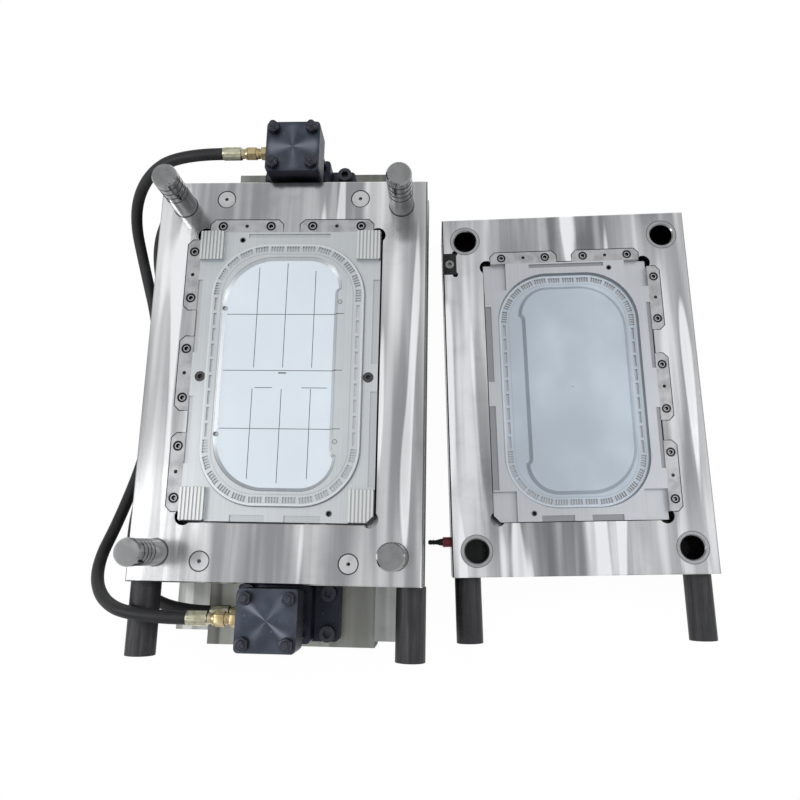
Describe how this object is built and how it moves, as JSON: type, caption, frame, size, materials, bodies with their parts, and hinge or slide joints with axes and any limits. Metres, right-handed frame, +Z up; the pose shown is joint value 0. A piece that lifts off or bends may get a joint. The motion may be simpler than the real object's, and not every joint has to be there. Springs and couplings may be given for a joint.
{
  "type": "plastic injection mould",
  "caption": "Plastic injection mould lying open, both parting faces up, with hydraulic cylinders and hoses that drive its ejector plates.",
  "frame": {"origin": "middle of the moving half's underside, on the axis of the ejector-rod hole", "axes": "+Z up, out of the parting faces; +X towards the fixed half; +Y along the plates, away from the legs"},
  "size_m": [1.0495, 0.877, 0.378],
  "materials": {
    "plate_steel": "ground tool steel, long grinding streaks",
    "insert_steel": "milled satin steel",
    "hose_rubber": "smooth black rubber",
    "yellow_zinc": "yellow zinc plating",
    "pale_zinc": "pale zinc plating",
    "black_steel": "black oxide",
    "dark_steel": "turned and blackened",
    "hard_steel": "hardened and ground",
    "screw_steel": "oiled screw steel",
    "bush_bronze": "plain bronze",
    "red_collar": "dark red anodised"
  },
  "bodies": {
    "moving_half": {"bottom_piston_rod": "hard_steel", "core_insert": "insert_steel", "core_insert_screws": "screw_steel", "core_plate": "plate_steel", "core_wedge_blocks": "insert_steel", "core_wedge_screws": "screw_steel", "ejector_guide_pins": "hard_steel", "guide_pillars": "hard_steel", "moving_clamp_plate": "plate_steel", "moving_clamp_screws": "screw_steel", "moving_leg_screws": "screw_steel", "moving_legs": "black_steel", "rod_lock_nuts": "screw_steel", "spacer_block_left": "plate_steel", "spacer_block_right": "plate_steel", "stop_discs": "plate_steel", "support_pillars": "plate_steel", "support_plate": "plate_steel", "top_piston_rod": "hard_steel"},
    "ejector_set": {"ejector_plate": "plate_steel", "ejector_retainer_plate": "plate_steel", "return_pins": "hard_steel", "ejector_pins": "hard_steel", "ejector_guide_bushes": "bush_bronze", "ejector_plate_screws": "screw_steel", "port_adapters": "yellow_zinc", "swivel_nuts": "yellow_zinc", "hose_ferrules": "pale_zinc", "cap_side_hose": "hose_rubber", "rod_side_hose": "hose_rubber", "top_cylinder_cap": "dark_steel", "top_cylinder_barrel": "dark_steel", "top_cylinder_head": "dark_steel", "top_cylinder_tie_rods": "dark_steel", "top_cylinder_tie_nuts": "dark_steel", "top_cylinder_flange_screws": "screw_steel", "bottom_cylinder_cap": "dark_steel", "bottom_cylinder_barrel": "dark_steel", "bottom_cylinder_head": "dark_steel", "bottom_cylinder_tie_rods": "dark_steel", "bottom_cylinder_tie_nuts": "dark_steel", "bottom_cylinder_flange_screws": "screw_steel"},
    "fixed_half": {"cavity_plate": "plate_steel", "cavity_insert": "insert_steel", "cavity_insert_screws": "screw_steel", "cavity_wedge_blocks": "insert_steel", "cavity_wedge_screws": "screw_steel", "guide_bushes": "hard_steel", "fixed_clamp_plate": "plate_steel", "fixed_clamp_screws": "screw_steel", "sprue_bush": "hard_steel", "locating_ring": "plate_steel", "locating_ring_screws": "screw_steel", "fixed_legs": "black_steel", "fixed_leg_screws": "screw_steel", "side_lock": "black_steel", "side_lock_bolt": "screw_steel", "coolant_nipple": "black_steel", "nipple_collar": "red_collar"}
  },
  "joints": [
    {"name": "ejector_stroke", "type": "slide", "parent": "moving_half", "child": "ejector_set", "axis": [0, 0, 1], "range_m": [0, 0.03]},
    {"name": "fixed_half_lift", "type": "slide", "parent": "moving_half", "child": "fixed_half", "axis": [0, 0, 1], "range_m": [0, 0.2]}
  ]
}
